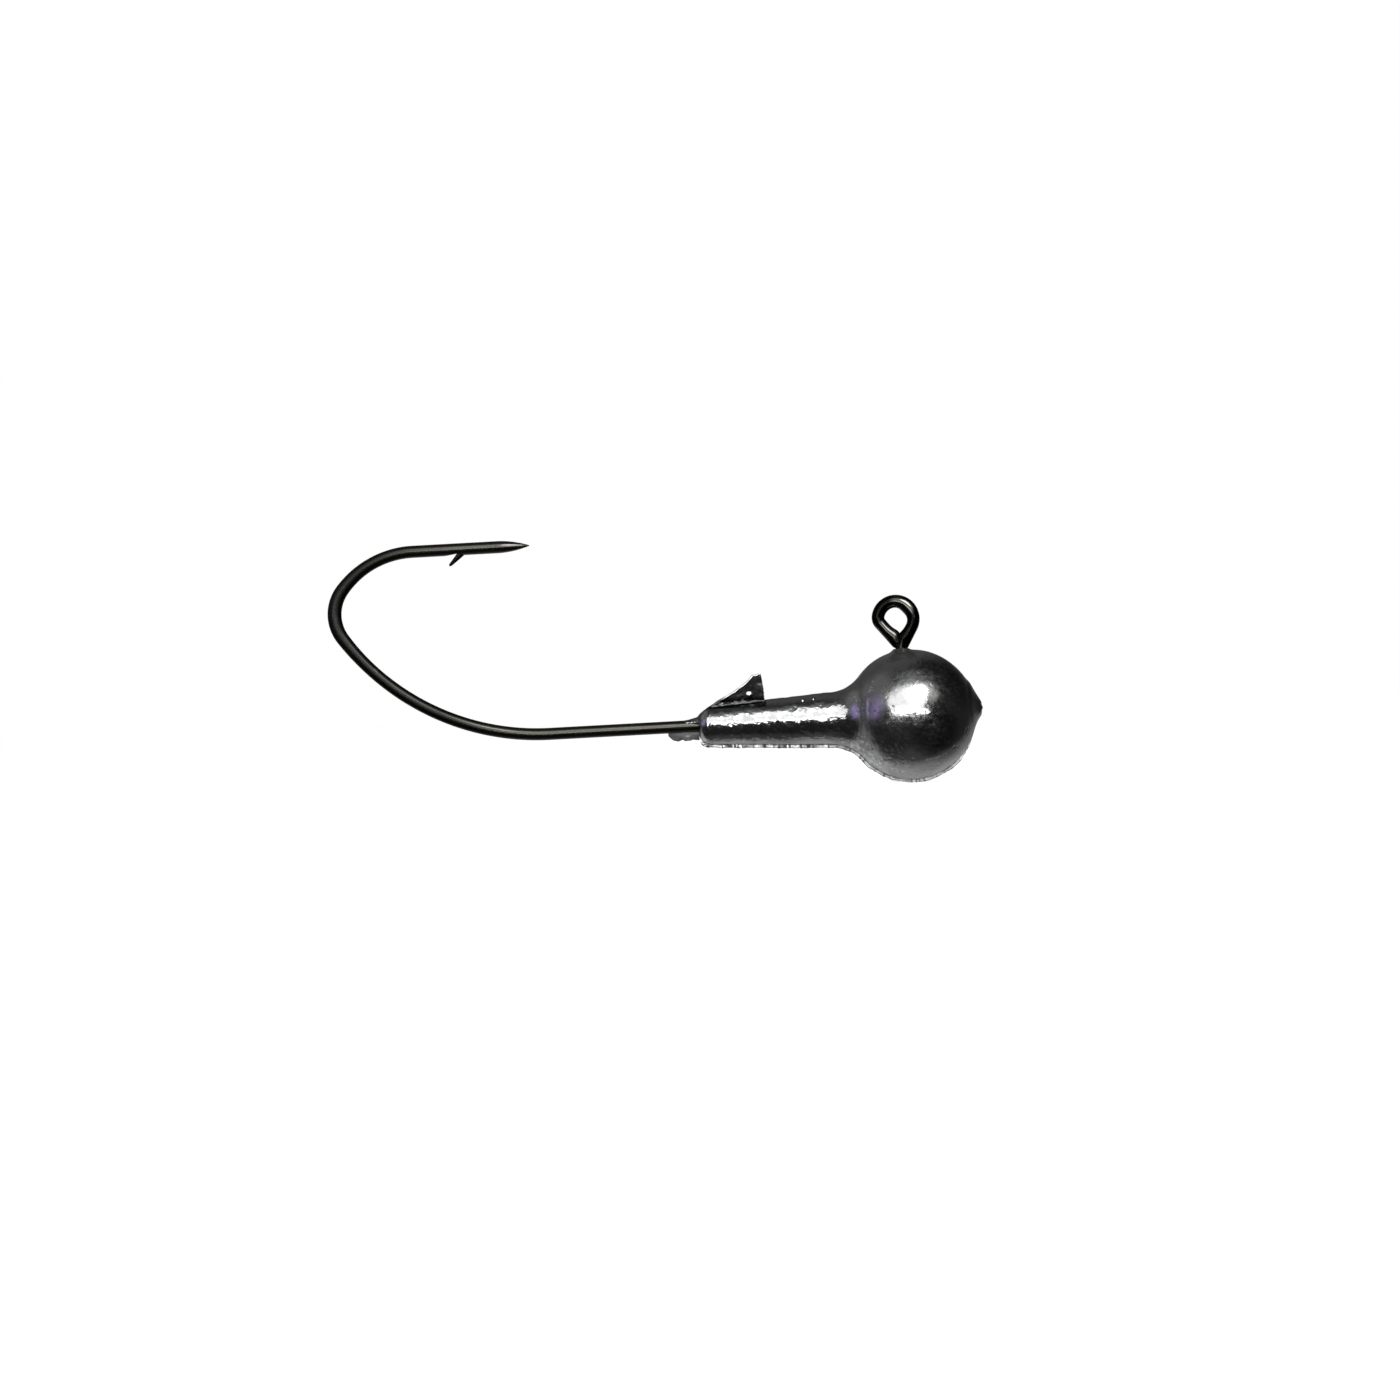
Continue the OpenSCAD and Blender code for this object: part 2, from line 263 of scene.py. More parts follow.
# The tongue's half-thicknesses at its root, and how much each loses towards its free end
BARB_THICK, BARB_THINS = 0.32, 0.2
BARB_WIDE, BARB_NARROWS = 0.3, 0.16


def barb_sliver(tip_x, tip_z, first):
    """The barb: a thin tongue of the wire's own skin, bent out and back towards the bend."""
    # Its midline is a curve from a root sunk in the wire, past a knee, to the free end
    corner = np.array([tip_x - BARB_BACK, tip_z - WIRE_R])
    root = corner + np.array([0.34, BARB_CUT + 0.16])
    knee = corner + np.array([0.06, -0.02])
    free = corner + np.array([-BARB_LEAN + 0.03, -BARB_RISE + 0.02])
    points = []
    for i in range(BARB_STATIONS):
        t = i / (BARB_STATIONS - 1)
        mid = (1 - t) ** 2 * root + 2 * t * (1 - t) * knee + t * t * free
        aim = 2 * (1 - t) * (knee - root) + 2 * t * (free - knee)
        aim /= np.hypot(*aim)
        out = np.array([-aim[1], aim[0]])
        # The free end is rounded off over its last tenth or so
        thick_end = math.sqrt(max(1 - max(0, t - 0.9) ** 2 * 70, 0.04))
        wide_end = math.sqrt(max(1 - max(0, t - 0.85) ** 2 * 36, 0.05))
        thick = (BARB_THICK - BARB_THINS * t ** 1.3) * thick_end
        wide = (BARB_WIDE - BARB_NARROWS * t ** 1.6) * wide_end
        for j in range(BARB_SIDES):
            a = 2 * math.pi * j / BARB_SIDES
            c, s = math.cos(a), math.sin(a)
            flat = c * thick * (1.0 if c > 0 else 0.8)
            points.append((mid[0] + out[0] * flat, s * wide, mid[1] + out[1] * flat))
    grid = first + np.arange(BARB_STATIONS * BARB_SIDES).reshape(BARB_STATIONS, BARB_SIDES)
    a, b = grid[:-1], grid[1:]
    quads = np.stack([a, np.roll(a, -1, 1), np.roll(b, -1, 1), b], -1).reshape(-1, 4).tolist()
    return np.array(points), quads + [grid[0][::-1].tolist(), grid[-1].tolist()]


# ---------------------------------------------------------------------------
# Casting: one distance field, meshed and then roughened. Its places are from the ball's centre.
# ---------------------------------------------------------------------------
# The visual model's rounding of the collar's rear edge, and where its taper starts
COLLAR_EDGE_R = 0.95
TAPER_X = -COLLAR_L + COLLAR_EDGE_R
# Side outline of the bait keeper, x and z
KEEPER_SIDE = [
    (-15.9, 1.0), (-15.42, 1.5), (-14.94, 1.78), (-13.51, 2.52), (-12.56, 3.17), (-12.28, 3.46),
    (-12.12, 3.68), (-11.8, 3.73), (-11.42, 3.83), (-11.33, 3.36), (-11.24, 2.6), (-11.2, 1.7),
    (-11.2, 1.0),
]
# The keeper's half-thickness at this height, and how fast it grows above
KEEPER_HALF, KEEPER_HALF_AT, KEEPER_UNDERCUT = 0.66, 1.6, 0.1
# The ramp cut across the collar's rear edge: how steep it is, a place on it and where it stops
RAMP_NORMAL = (-0.57, 0.82)
RAMP_X, RAMP_Z, RAMP_END_X = -16.38, 0.86, -14.5
# Gate stub: its axis, the radius and x of its rim, how fast it widens, and where it starts
GATE_Z, GATE_R, GATE_RIM_X, GATE_WIDENS, GATE_START_X = 0.14, 0.42, 5.5, 1.54, 4.3
# Its cone shrinks again behind this x, so that it runs smoothly into the ball
GATE_EASE_X = 4.7
# Lead crept up the eye's leg: its radius and top, and how fast it widens below
CREEP_R, CREEP_TOP_Z, CREEP_WIDENS, CREEP_START_Z = 0.58, 5.1, 0.55, 4.2
# Lead crept back along the wire: its radius at the rear, how much it gains, and its ends
FILM_R, FILM_GAIN, FILM_REAR_X, FILM_FRONT_X = 0.45, 0.35, -17.5, -15.0
# Beads of lead on the side towards the camera, as x, z and radius
BEADS = [
    (-12.36, 2.16, 0.26), (-15.42, 0.01, 0.12), (-8.73, -0.17, 0.11), (-8.33, 1.51, 0.1),
    (-7.48, 1.58, 0.1), (-13.9, -0.2, 0.08), (-10.3, 0.1, 0.07),
]


def smooth_union(a, b, k):
    """The union of two fields, blended over about k."""
    h = np.clip(0.5 + 0.5 * (b - a) / k, 0, 1)
    return b * (1 - h) + a * h - k * h * (1 - h)


def rounded_cut(a, b, r):
    """Where both fields are inside, with the edge between them rounded to radius r."""
    corner = np.hypot(np.maximum(a + r, 0), np.maximum(b + r, 0))
    return np.minimum(np.maximum(a, b), -r) + corner


def wander(x, seed, cell):
    """A smooth random line through x, from -1 to 1."""
    rng = np.random.default_rng(seed)
    knots = rng.uniform(-1, 1, 256)
    u = np.asarray(x) / cell
    i = np.floor(u).astype(int)
    f = u - i
    f = f * f * (3 - 2 * f)
    return knots[i % 256] * (1 - f) + knots[(i + 1) % 256] * f


def noise(points, seed, cell):
    """Smooth random values from -1 to 1 at points, on a lattice of this cell size."""
    rng = np.random.default_rng(seed)
    size = 64
    table = rng.uniform(-1, 1, (size, size, size))
    u = points / cell + 1000
    i = np.floor(u).astype(int)
    f = u - i
    f = f ** 3 * (f * (6 * f - 15) + 10)
    total = np.zeros(len(points))
    for corner in np.ndindex(2, 2, 2):
        shares = [f[:, a] if corner[a] else 1 - f[:, a] for a in range(3)]
        at = (i + corner) % size
        total += shares[0] * shares[1] * shares[2] * table[at[:, 0], at[:, 1], at[:, 2]]
    return total


def polygon_distance(px, pz, corners):
    """Signed distance to a polygon given anticlockwise or clockwise."""
    corners = np.asarray(corners, float)
    best = np.full(px.shape, np.inf)
    inside = np.zeros(px.shape, bool)
    for (ax, az), (bx, bz) in zip(corners, np.roll(corners, -1, 0)):
        ex, ez = bx - ax, bz - az
        wx, wz = px - ax, pz - az
        t = np.clip((wx * ex + wz * ez) / (ex * ex + ez * ez), 0, 1)
        best = np.minimum(best, np.hypot(wx - ex * t, wz - ez * t))
        # A level side has no crossing, so what it divides by doesn't matter
        where = ax + (pz - az) * ex / (ez if ez else 1.0)
        inside ^= ((az > pz) != (bz > pz)) & (px < where)
    return np.where(inside, -best, best)


def body_field(x, rho):
    """The ball, its hollow flare and the tapered collar. Rho is the distance from the axis."""
    flare_rho = COLLAR_FRONT_R + FLARE_R
    ball = np.hypot(x, rho) - BALL_R
    taper = (COLLAR_FRONT_R - COLLAR_REAR_R) / (FLARE_X - TAPER_X)
    cone = (rho - COLLAR_REAR_R - taper * (x - TAPER_X)) / math.hypot(1, taper)
    collar = rounded_cut(cone, -COLLAR_L - x, COLLAR_EDGE_R)
    collar = np.maximum(collar, x)
    reach = np.hypot(x - FLARE_X, rho - flare_rho)
    in_sector = (x > FLARE_X) & (rho < flare_rho * x / FLARE_X)
    return np.where(in_sector, FLARE_R - reach, np.minimum(ball, collar))


def keeper_field(x, y, z):
    """The bait keeper: a wedge with flat, slightly undercut sides and a ragged crest."""
    side = polygon_distance(x, z, KEEPER_SIDE) + 0.018 * wander(x, 6, 0.21)
    half = KEEPER_HALF + KEEPER_UNDERCUT * (z - KEEPER_HALF_AT)
    half = half + 0.02 * wander(x, 4, 0.9) + 0.004 * wander(z - 0.2 * x, 5, 0.4)
    return rounded_cut(side, np.abs(y) - half, 0.05)


def gate_field(x, y, z):
    """The gate stub: a broken, lopsided cone on the nose."""
    gz = z - GATE_Z
    rho = np.hypot(y * 0.95, np.where(gz > 0, gz * 0.9, gz * 1.12))
    # The factor keeps the field's slope near 1 on the cone
    cone = (rho - GATE_R - GATE_WIDENS * (GATE_RIM_X - x)) * 0.54
    cone = cone + 1.5 * np.maximum(GATE_EASE_X - x, 0) ** 2
    broken = x - 5.48 - 0.05 * wander(z, 8, 0.25) - 0.05 * wander(y, 9, 0.3)
    broken = broken + 0.1 * np.abs(z - 0.2)
    return np.maximum(rounded_cut(cone, broken, 0.06), GATE_START_X - x)


def creep_field(x, y, z):
    """Lead that crept up the leg of the eye, a little behind its axis."""
    leg = np.hypot(x - (LEG_AHEAD - BALL_AT[0] - 0.06), y)
    side = (leg - CREEP_R - CREEP_WIDENS * np.maximum(CREEP_TOP_Z - z, 0)) * 0.88
    return np.maximum(rounded_cut(side, z - CREEP_TOP_Z, 0.08), CREEP_START_Z - z)


def film_field(x, y, z):
    """Lead that crept back along the top of the wire."""
    gain = FILM_GAIN * np.clip((x - FILM_REAR_X) / 1.4, 0, 1) ** 1.6
    film = np.maximum(np.hypot(y, z - 0.02) - FILM_R - gain, FILM_REAR_X - x)
    return np.maximum(np.maximum(film, x - FILM_FRONT_X), 0.22 - z)


def casting_field(p):
    """Signed distance, near enough, to the casting."""
    x, y, z = p[:, 0], p[:, 1], p[:, 2]
    d = body_field(x, np.hypot(y, z))
    d = smooth_union(d, keeper_field(x, y, z), 0.04)
    # The keeper's ramp runs on down across the collar's rear edge
    ramp = RAMP_NORMAL[1] * (z - RAMP_Z) + RAMP_NORMAL[0] * (x - RAMP_X)
    d = np.where(x < RAMP_END_X, rounded_cut(d, np.where(z > 0, ramp, -1.0), 0.1), d)
    d = smooth_union(d, gate_field(x, y, z), 0.26)
    d = smooth_union(d, creep_field(x, y, z), 0.3)
    d = smooth_union(d, film_field(x, y, z), 0.12)
    for bead_x, bead_z, r in BEADS:
        # Each bead is centred on the collar's surface there, or on the keeper's side
        around = COLLAR_REAR_R + 0.054 * (bead_x + 15.6)
        depth = math.sqrt(max(around ** 2 - bead_z ** 2, 0.28))
        bead = np.sqrt((x - bead_x) ** 2 + (y + depth) ** 2 + (z - bead_z) ** 2) - r
        d = smooth_union(d, bead, 0.06)
    return d


def net_surface(field, origin, step):
    """A quad mesh of the zero level of a sampled field, with one point in each cell it crosses."""
    inside = field < 0
    shape = np.array(field.shape) - 1
    count = np.zeros(shape, np.int8)
    for i, j, k in np.ndindex(2, 2, 2):
        count += inside[i:shape[0] + i, j:shape[1] + j, k:shape[2] + k]
    cells = np.argwhere((count > 0) & (count < 8))
    index = np.full(shape, -1, np.int64)
    index[tuple(cells.T)] = np.arange(len(cells))
    # Each point is the mean of the places where the surface crosses its cell's edges
    total = np.zeros((len(cells), 3))
    hits = np.zeros(len(cells))
    for axis in range(3):
        u, v = [a for a in range(3) if a != axis]
        for du, dv in np.ndindex(2, 2):
            low = cells.copy()
            low[:, u] += du
            low[:, v] += dv
            high = low.copy()
            high[:, axis] += 1
            a, b = field[tuple(low.T)], field[tuple(high.T)]
            crossed = (a < 0) != (b < 0)
            t = np.where(crossed, a / np.where(crossed, a - b, 1), 0)
            offset = (low - cells).astype(float)
            offset[:, axis] += t
            total += np.where(crossed[:, None], offset, 0)
            hits += crossed
    verts = origin + step * (cells + total / hits[:, None])
    # Each grid edge that the surface crosses makes one quad of the four cells round it
    quads = []
    for axis in range(3):
        u, v = (axis + 1) % 3, (axis + 2) % 3
        first = np.take(inside, range(field.shape[axis] - 1), axis)
        second = np.take(inside, range(1, field.shape[axis]), axis)
        for leaving in (True, False):
            edges = np.argwhere(first & ~second if leaving else ~first & second)
            keep = (edges[:, u] > 0) & (edges[:, v] > 0)
            keep &= (edges[:, u] < shape[u]) & (edges[:, v] < shape[v])
            edges = edges[keep]
            ring = []
            for du, dv in ((1, 1), (0, 1), (0, 0), (1, 0)):
                cell = edges.copy()
                cell[:, u] -= du
                cell[:, v] -= dv
                ring.append(index[tuple(cell.T)])
            quad = np.stack(ring, 1)
            quads.append(quad if leaving else quad[:, ::-1])
    return verts, np.vstack(quads)


def gradient(p, h=0.01):
    """The casting field's gradient at points, by central differences."""
    g = np.empty_like(p)
    for axis in range(3):
        shift = np.zeros(3)
        shift[axis] = h
        g[:, axis] = (casting_field(p + shift) - casting_field(p - shift)) / (2 * h)
    return g


def cast_skin(p):
    """How far the cast skin stands off its ideal surface: dents, ripples of chilled lead, pits."""
    dents = 0.022 * noise(p, 21, 2.4) + 0.01 * noise(p, 22, 1.1)
    on_collar = np.clip((-4.5 - p[:, 0]) / 1.5, 0, 1)
    ripple = noise(p * np.array([1, 0.8, 0.8]), 23, 0.5)
    aslant = np.stack([0.4 * p[:, 0], p[:, 1], p[:, 2] + 0.5 * p[:, 0]], 1)
    ripples = (0.003 + 0.008 * on_collar) * ripple + 0.009 * on_collar * noise(aslant, 25, 0.27)
    pits = -0.02 * np.clip(noise(p, 24, 0.33) - 0.62, 0, 1) / 0.38
    return dents + ripples + pits


# The casting's grid: its two corners, its cell, and how many cells make one coarse block
GRID_LOW, GRID_HIGH = np.array([-19.0, -5.4, -5.6]), np.array([5.9, 5.4, 5.8])
GRID = 0.07
BLOCK = 4
# The field is sampled finely only where a coarse block lies this near the surface
NEAR_SURFACE = GRID * BLOCK * 1.7 + 0.12
# Steps that pull the mesh's points on to the surface, and the longest that one may be
PULLS, LONGEST_PULL = 3, 0.05


def casting_mesh(material):
    """The casting's skin, meshed from its field and then roughened."""
    blocks = np.ceil((GRID_HIGH - GRID_LOW) / (GRID * BLOCK)).astype(int)
    axes = [GRID_LOW[a] + GRID * np.arange(blocks[a] * BLOCK) for a in range(3)]
    middles = [
        GRID_LOW[a] + GRID * (BLOCK * np.arange(blocks[a]) + (BLOCK - 1) / 2) for a in range(3)
    ]
    coarse_points = np.stack(np.meshgrid(*middles, indexing="ij"), -1).reshape(-1, 3)
    field = casting_field(coarse_points).reshape(blocks)
    for axis in range(3):
        field = np.repeat(field, BLOCK, axis)
    band = np.abs(field) < NEAR_SURFACE
    spots = np.argwhere(band)
    field[band] = casting_field(np.stack([axes[a][spots[:, a]] for a in range(3)], 1))
    verts, quads = net_surface(field, GRID_LOW, GRID)
    for _ in range(PULLS):
        g = gradient(verts)
        size = np.maximum((g * g).sum(1), 0.25)
        pull = np.clip(casting_field(verts) / size, -LONGEST_PULL, LONGEST_PULL)
        verts = verts - g * pull[:, None]
    g = gradient(verts)
    normal = g / np.linalg.norm(g, axis=1)[:, None]
    verts = verts + normal * cast_skin(verts)[:, None]
    return add_mesh("casting", verts + BALL_AT, quads.tolist(), material)


# ---------------------------------------------------------------------------
# Parting flash: a thin ragged fin along the underside of the casting, and its tail on the wire
# ---------------------------------------------------------------------------
FIN_STEP = 0.04
# The flash starts low on the collar's rear edge and ends under the ball's nose, in degrees from +X
FLASH_REAR, FLASH_FRONT = 195, 340
# Its lowest height, what its coarse and fine raggedness add, and its thickness
FLASH_PROUD, FLASH_RAGGED, FLASH_FINE, FLASH_THICK = 0.19, 0.06, 0.04, 0.13
# How far the fins' feet reach into the lead and into the wire
FLASH_ROOT, TAIL_ROOT = 0.15, 0.12
TAIL_REAR_X, TAIL_FRONT_X, TAIL_DROP, TAIL_THICK, TAIL_LEAN = -18.76, -15.9, 0.6, 0.14, 0.16
# Corners of a fin's cross-section: across it, as a share of its half-thickness, and up it, as a
# share of its height. Those without a height are its foot.
FIN_SECTION = [(-1, None), (-0.85, 0.8), (-0.35, 1), (0.35, 1), (0.85, 0.8), (1, None)]
FIN_SHARP_ANGLE = 35


def arc_line(centre, radius, first, last):
    """Places on an arc, each as x, z and the direction outwards. Angles are from +X."""
    n = math.ceil(abs(math.radians(last - first)) * radius / FIN_STEP)
    places = []
    for i in range(n):
        a = first + (last - first) * i / n
        b = math.radians(a)
        places.append((centre[0] + radius * math.cos(b), centre[1] + radius * math.sin(b), a))
    return places


def flash_route():
    """The casting's lowest edge from the rear of the collar to the front of the ball."""
    flare_angle = math.degrees(math.acos(-FLARE_X / (BALL_R + FLARE_R)))
    rear_centre = (TAPER_X, COLLAR_EDGE_R - COLLAR_REAR_R)
    places = arc_line(rear_centre, COLLAR_EDGE_R, FLASH_REAR, 268)
    n = math.ceil((FLARE_X - TAPER_X) / FIN_STEP)
    for i in range(n):
        t = i / n
        z = -COLLAR_REAR_R - t * (COLLAR_FRONT_R - COLLAR_REAR_R)
        places.append((TAPER_X + t * (FLARE_X - TAPER_X), z, 272.0))
    hollow = arc_line((FLARE_X, -COLLAR_FRONT_R - FLARE_R), FLARE_R, 90, flare_angle)
    places += [(x, z, a + 180) for x, z, a in hollow]
    places += arc_line((0, 0), BALL_R, 180 + flare_angle, FLASH_FRONT)
    return np.array(places)


def fin(name, places, proud, thick, lean, root, material):
    """A fin that stands proud of its places. Its edge leans across it by a share of its height."""
    a = np.radians(places[:, 2])
    level = np.zeros_like(a)
    out = np.stack([np.cos(a), level, np.sin(a)], 1)
    base = np.stack([places[:, 0], level, places[:, 1]], 1)
    rows = []
    for across, share in FIN_SECTION:
        height = -np.full(len(places), root) if share is None else share * proud
        shift = across * thick / 2 - lean * np.maximum(height, 0)
        rows.append(base + out * height[:, None] + np.stack([level, shift, level], 1))
    points = np.stack(rows, 1)
    n, m = points.shape[:2]
    grid = np.arange(n * m).reshape(n, m)
    near, far = grid[:-1], grid[1:]
    quads = np.stack([near, np.roll(near, -1, 1), np.roll(far, -1, 1), far], -1)
    faces = quads.reshape(-1, 4).tolist() + [list(grid[0][::-1]), list(grid[-1])]
    obj = add_mesh(name, points.reshape(-1, 3) + BALL_AT, faces, material)
    obj.data.set_sharp_from_angle(angle=math.radians(FIN_SHARP_ANGLE))
    return obj


def flash_mesh(material):
    """The fin under the collar and the ball, which dies away at both ends."""
    places = flash_route()
    s = np.arange(len(places)) * FIN_STEP
    ragged = 0.5 + 0.5 * wander(s, 11, 0.42)
    fine = 0.5 + 0.5 * wander(s, 12, 0.12)
    ends = np.clip(s / 0.6, 0, 1) * np.clip((s[-1] - s) / 2.5, 0, 1)
    proud = (FLASH_PROUD + FLASH_RAGGED * ragged + FLASH_FINE * fine) * ends
    lean = 0.08 * wander(s, 16, 0.5) + 0.04 * wander(s, 17, 0.2)
    thick = FLASH_THICK + 0.04 * ragged
    return fin("flash", places, proud, thick, lean, FLASH_ROOT, material)


def tail_mesh(material):
    """The fin below the wire, just behind the collar, with a blunt rear end."""
    x = np.arange(TAIL_REAR_X, TAIL_FRONT_X, FIN_STEP)
    places = np.stack([x, np.full(len(x), -WIRE_R), np.full(len(x), 270.0)], 1)
    blunt = np.sqrt(np.clip((x - TAIL_REAR_X + FIN_STEP) / 0.5, 0, 1))
    drop = (TAIL_DROP + 0.06 * wander(x, 14, 0.3) + 0.03 * wander(x, 15, 0.11)) * blunt
    drop = np.maximum(drop, 0.03)
    lean = 0.06 * wander(x, 18, 0.4) - TAIL_LEAN
    return fin("flash_tail", places, drop, TAIL_THICK, lean, TAIL_ROOT, material)


# ---------------------------------------------------------------------------
# Materials
# ---------------------------------------------------------------------------
class Nodes:
    """A short way to write nodes. Sockets are linked, and other values are set on the input."""

    def __init__(self, tree):
        self.tree = tree
        tree.nodes.clear()

    def add(self, kind, inputs=None, **settings):
        node = self.tree.nodes.new(kind)
        for key, value in settings.items():
            setattr(node, key, value)
        for key, value in (inputs or {}).items():
            self.put(node.inputs[key], value)
        return node

    def put(self, socket, value):
        if isinstance(value, bpy.types.NodeSocket):
            self.tree.links.new(value, socket)
        else:
            socket.default_value = value

    def noise(self, vector, scale, detail=3.0, rough=0.55):
        inputs = {"Vector": vector, "Scale": scale, "Detail": detail, "Roughness": rough}
        return self.add("ShaderNodeTexNoise", inputs).outputs["Fac"]

    def span(self, value, low, high, to_low=0.0, to_high=1.0):
        """A smooth step from to_low at low to to_high at high."""
        inputs = {
            "Value": value, "From Min": low, "From Max": high, "To Min": to_low, "To Max": to_high,
        }
        node = self.add("ShaderNodeMapRange", inputs, interpolation_type="SMOOTHSTEP")
        return node.outputs["Result"]

    def band(self, value, start, full, full_end, end):
        """1 between full and full_end, 0 outside start and end."""
        return self.times(self.span(value, start, full), self.span(value, end, full_end))

    def math(self, operation, a, b):
        node = self.add("ShaderNodeMath", operation=operation)
        self.put(node.inputs[0], a)
        self.put(node.inputs[1], b)
        return node.outputs[0]

    def plus(self, a, b):
        return self.math("ADD", a, b)

    def minus(self, a, b):
        return self.math("SUBTRACT", a, b)

    def times(self, a, b):
        return self.math("MULTIPLY", a, b)

    def mix(self, factor, a, b, **settings):
        node = self.add("ShaderNodeMix", data_type="RGBA", **settings)
        self.put(node.inputs["Factor"], factor)
        self.put(node.inputs["A"], a)
        self.put(node.inputs["B"], b)
        return node.outputs["Result"]

    def stretch(self, vector, scale):
        return self.add("ShaderNodeMapping", {"Vector": vector, "Scale": scale}).outputs["Vector"]

    def bump(self, height, strength, distance, normal=None):
        """A bump on top of normal, or on top of the plain surface. Distance is in metres."""
        inputs = {"Height": height, "Strength": strength, "Distance": distance}
        if normal is not None:
            inputs["Normal"] = normal
        return self.add("ShaderNodeBump", inputs).outputs["Normal"]

    def principled(self, inputs):
        """Finish the material with a Principled shader."""
        shader = self.add("ShaderNodeBsdfPrincipled", inputs)
        self.add("ShaderNodeOutputMaterial", {"Surface": shader.outputs["BSDF"]})


def new_material(name):
    """An empty material and its nodes."""
    material = bpy.data.materials.new(name)
    material.use_nodes = True
    return material, Nodes(material.node_tree)


LEAD_CLEAN, LEAD_OXIDE = (0.56, 0.565, 0.56, 1), (0.4, 0.405, 0.405, 1)
LEAD_GRAIN, LEAD_WORN = (0.2, 0.2, 0.205, 1), (0.8, 0.805, 0.81, 1)
LEAD_FRESH, LEAD_CREASE_SHADE = (0.66, 0.67, 0.66, 1), (0.05, 0.05, 0.052, 1)
LEAD_KEEPER_FOOT_SHADE = (0.02, 0.02, 0.022, 1)
# How much rougher newly broken lead is, and the oxide round the eye's leg
FRESH_ROUGH, TOP_ROUGH = 0.32, 0.16
# Share of fresh lead in the flash
FLASH_FRESH = 0.6
# Places on the casting, in metres: the flare's end, the keeper's front and its foot
FLARE_END_X = (BALL_AT[0] - 5.4) * MM
KEEPER_END_X = (BALL_AT[0] - 11.0) * MM
KEEPER_FOOT_Z = (SHANK_Z + 1.8) * MM


def cast_lead(name, fresh):
    """Lead, matte and grey where it has oxidised, with painted shade in creases. Fresh is the share
    of newly broken metal.
    """
    material, n = new_material(name)
    where = n.add("ShaderNodeTexCoord").outputs["Object"]
    edge = n.add("ShaderNodeNewGeometry").outputs["Pointiness"]
    place = n.add("ShaderNodeSeparateXYZ", {"Vector": where})
    x, z = place.outputs["X"], place.outputs["Z"]
    # The collar chilled first, so its skin is brighter and more rippled than the ball's
    chilled = n.span(x, FLARE_END_X + 1.6 * MM, FLARE_END_X)
    patches = n.noise(where, 330, 3, 0.6)
    grain = n.noise(where, 3200, 4, 0.65)
    specks = n.noise(where, 7000, 2, 0.5)
    colour = n.mix(n.span(patches, 0.38, 0.66), LEAD_CLEAN, LEAD_OXIDE)
    colour = n.mix(n.span(grain, 0.5, 0.72, 0, 0.35), colour, LEAD_GRAIN)
    colour = n.mix(n.times(n.span(edge, 0.515, 0.56), 0.8), colour, LEAD_WORN)
    colour = n.mix(fresh, colour, LEAD_FRESH)
    # Partly real oxide, partly painted shade: creases and hollows darkened nearly to black
    colour = n.mix(n.times(n.span(edge, 0.475, 0.44), 0.85), colour, LEAD_CREASE_SHADE)
    # Painted shade along the crease where the keeper leaves the collar
    heights = [(SHANK_Z + h) * MM for h in (1.1, 1.3, 1.85, 2.15)]
    keeper_foot_shade = n.times(n.band(z, *heights), n.span(x, KEEPER_END_X, KEEPER_END_X - 0.2 * MM))
    colour = n.mix(n.times(keeper_foot_shade, 0.93), colour, LEAD_KEEPER_FOOT_SHADE)
    rough = n.span(patches, 0.3, 0.7, 0.18, 0.29)
    rough = n.minus(rough, n.times(chilled, 0.08))
    rough = n.plus(rough, n.span(grain, 0.35, 0.75, -0.04, 0.07))
    rough = n.plus(rough, FRESH_ROUGH * fresh)
    # Oxide left round the eye's leg, where nothing rubs the ball
    top = n.span(z, (SHANK_Z + 3.6) * MM, (SHANK_Z + 4.7) * MM)
    rough = n.plus(rough, n.times(top, TOP_ROUGH))
    streaks = n.noise(n.stretch(where, (700, 5200, 5200)), 1.0, 3, 0.6)
    ripples = n.noise(where, 1100, 3, 0.55)
    chill = n.noise(n.stretch(where, (0.8, 1, 1)), 2000, 3, 0.6)
    below_keeper = n.span(z, KEEPER_FOOT_Z, KEEPER_FOOT_Z - 0.4 * MM)
    normal = n.bump(ripples, 0.5, 0.00006)
    normal = n.bump(n.times(chill, n.times(chilled, below_keeper)), 1.0, 0.00004, normal)
    normal = n.bump(grain, 0.18, 0.00002, normal)
    normal = n.bump(streaks, 0.12, 0.00001, normal)
    normal = n.bump(specks, 0.1, 0.00001, normal)
    n.principled({"Base Color": colour, "Metallic": 1.0, "Roughness": rough, "Normal": normal})
    return material


NICKEL_GREENISH, NICKEL_BROWNISH = (0.04, 0.044, 0.032, 1), (0.046, 0.038, 0.035, 1)
NICKEL_DRAWN, NICKEL_SPECK = (0.06, 0.062, 0.052, 1), (0.02, 0.019, 0.018, 1)
NICKEL_WORN, NICKEL_EYE_SHADE = (0.2, 0.2, 0.19, 1), (0.004, 0.0044, 0.0034, 1)
NICKEL_BEND_SHADE = (0.012, 0.012, 0.012, 1)
# The coat's share on plain wire, and what duller bend wire, the eye's shaded wire and its glint
# spots change it by
COAT, COAT_DULL, COAT_EYE_SHADE, COAT_RUBBED_AND_GLINT = 0.7, 0.64, 0.67, 0.3
COAT_ROUGH = 0.07


